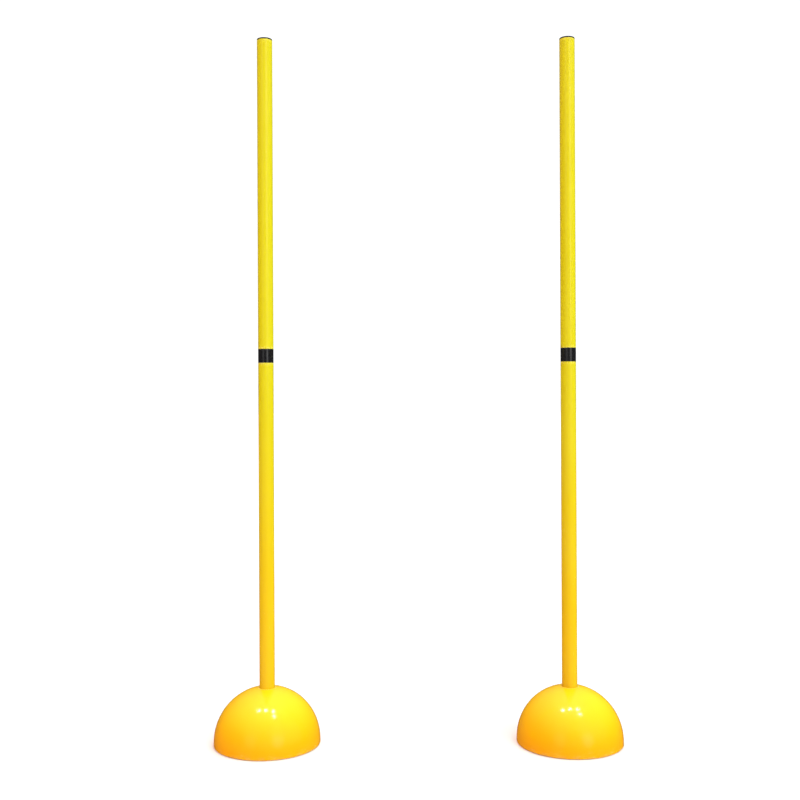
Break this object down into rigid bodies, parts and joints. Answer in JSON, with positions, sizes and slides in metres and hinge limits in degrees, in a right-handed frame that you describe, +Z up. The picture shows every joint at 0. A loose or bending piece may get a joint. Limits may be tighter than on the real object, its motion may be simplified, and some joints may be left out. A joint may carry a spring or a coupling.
{
  "type": "weave poles",
  "caption": "Pair of free-standing slalom poles for dog agility: two-part tubes with a collar, each in a weighted dome base.",
  "frame": {"origin": "on the floor midway between the two poles", "axes": "+Z up along the poles, +X from the left pole to the right one, +Y away from the viewer"},
  "size_m": [0.853, 0.221, 1.47],
  "materials": {
    "dome_yellow": "gloss",
    "tube_yellow": "satin",
    "connector_black": "satin",
    "cap_black": "matte",
    "plate_black": "matte",
    "plug_black": "matte",
    "socket_white": "matte",
    "pad_rubber": "matte",
    "seal_rubber": "matte",
    "screw_steel": "satin",
    "sand": "matte"
  },
  "bodies": {
    "left_base": {"left_dome_shell": "dome_yellow", "left_base_plate": "plate_black", "left_base_screws": "screw_steel", "left_pole_socket": "socket_white", "left_sand_fill": "sand", "left_foot_pads": "pad_rubber"},
    "left_plug_seal": {"left_fill_plug_seal": "seal_rubber"},
    "left_plug": {"left_fill_plug": "plug_black"},
    "left_lower_pole": {"left_lower_tube": "tube_yellow", "left_lower_tube_plug": "cap_black", "left_tube_connector": "connector_black"},
    "left_upper_pole": {"left_upper_tube": "tube_yellow", "left_upper_tube_cap": "cap_black"},
    "right_base": {"right_dome_shell": "dome_yellow", "right_base_plate": "plate_black", "right_base_screws": "screw_steel", "right_pole_socket": "socket_white", "right_sand_fill": "sand", "right_foot_pads": "pad_rubber"},
    "right_plug_seal": {"right_fill_plug_seal": "seal_rubber"},
    "right_plug": {"right_fill_plug": "plug_black"},
    "right_lower_pole": {"right_lower_tube": "tube_yellow", "right_lower_tube_plug": "cap_black", "right_tube_connector": "connector_black"},
    "right_upper_pole": {"right_upper_tube": "tube_yellow", "right_upper_tube_cap": "cap_black"}
  },
  "joints": [
    {"name": "left_pole_lift", "type": "slide", "parent": "left_base", "child": "left_lower_pole", "axis": [0, 0, 1], "range_m": [0, 0.074]},
    {"name": "left_upper_pull", "type": "slide", "parent": "left_lower_pole", "child": "left_upper_pole", "axis": [0, 0, 1], "range_m": [0, 0.065]},
    {"name": "left_plug_thread", "type": "slide", "parent": "left_base", "child": "left_plug_seal", "axis": [0, 0, -1], "range_m": [0, 0.0151]},
    {"name": "left_plug_turn", "type": "hinge", "parent": "left_plug_seal", "child": "left_plug", "pos_m": [-0.316, 0.058, 0.0024], "axis": [0, 0, -1], "range_deg": [0, 1800]},
    {"name": "pole_spacing", "type": "slide", "parent": "left_base", "child": "right_base", "axis": [1, 0, 0], "range_m": [-0.41, 0.35]},
    {"name": "right_pole_lift", "type": "slide", "parent": "right_base", "child": "right_lower_pole", "axis": [0, 0, 1], "range_m": [0, 0.074]},
    {"name": "right_upper_pull", "type": "slide", "parent": "right_lower_pole", "child": "right_upper_pole", "axis": [0, 0, 1], "range_m": [0, 0.065]},
    {"name": "right_plug_thread", "type": "slide", "parent": "right_base", "child": "right_plug_seal", "axis": [0, 0, -1], "range_m": [0, 0.0151]},
    {"name": "right_plug_turn", "type": "hinge", "parent": "right_plug_seal", "child": "right_plug", "pos_m": [0.316, 0.058, 0.0024], "axis": [0, 0, -1], "range_deg": [0, 1800]}
  ],
  "couplings": [
    {"joint": "left_plug_thread", "follows": "left_plug_turn", "m_per_rad": 0.00047746},
    {"joint": "right_plug_thread", "follows": "right_plug_turn", "m_per_rad": 0.00047746}
  ]
}
